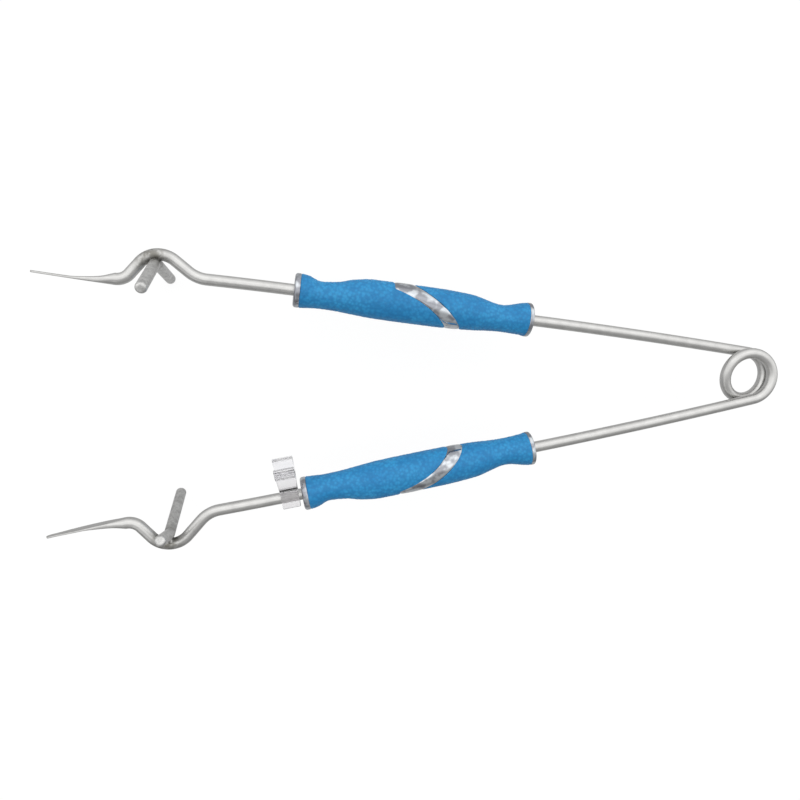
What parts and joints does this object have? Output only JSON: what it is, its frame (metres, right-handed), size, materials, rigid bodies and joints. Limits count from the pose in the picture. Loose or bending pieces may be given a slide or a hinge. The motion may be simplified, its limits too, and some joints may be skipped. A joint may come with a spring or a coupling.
{
  "type": "cheek retractor",
  "caption": "Spring-tong cheek retractor: wire arms with coil spring, hooked flat blades, lip pins, soft-sleeved handles and a clear parking clip.",
  "frame": {"origin": "centre of the spring coil", "axes": "+Z along the coil's axis, square to the plane in which the arms open; tips towards -X; upper arm towards +Y, lower arm towards -Y"},
  "size_m": [0.2007, 0.0767, 0.0428],
  "materials": {
    "steel_wire": "satin",
    "polished_steel": "polished",
    "blue_silicone": "fine pebble grain",
    "clear_plastic": "clear gloss"
  },
  "bodies": {
    "lower_arm": {"coil_spring": "steel_wire", "lower_arm_rod": "steel_wire", "lower_top_pin": "steel_wire", "lower_bottom_pin": "steel_wire", "lower_handle_core": "polished_steel", "lower_front_sleeve": "blue_silicone", "lower_rear_sleeve": "blue_silicone", "lower_front_collar": "polished_steel", "lower_rear_collar": "polished_steel"},
    "upper_arm": {"upper_arm_rod": "steel_wire", "upper_top_pin": "steel_wire", "upper_bottom_pin": "steel_wire", "upper_handle_core": "polished_steel", "upper_front_sleeve": "blue_silicone", "upper_rear_sleeve": "blue_silicone", "upper_front_collar": "polished_steel", "upper_rear_collar": "polished_steel"},
    "clip": {"parking_clip": "clear_plastic"}
  },
  "joints": [
    {"name": "arm_squeeze", "type": "hinge", "parent": "lower_arm", "child": "upper_arm", "pos_m": [0, 0, 0], "axis": [0, 0, 1], "range_deg": [0, 19.2], "stiffness_Nm_per_rad": 6.2, "deforming": ["coil_spring"]},
    {"name": "clip_swing", "type": "hinge", "parent": "lower_arm", "child": "clip", "pos_m": [-0.13142, -0.02707, 0.002], "axis": [-0.9899, -0.1415, 0], "range_deg": [-60, 52.7]}
  ]
}
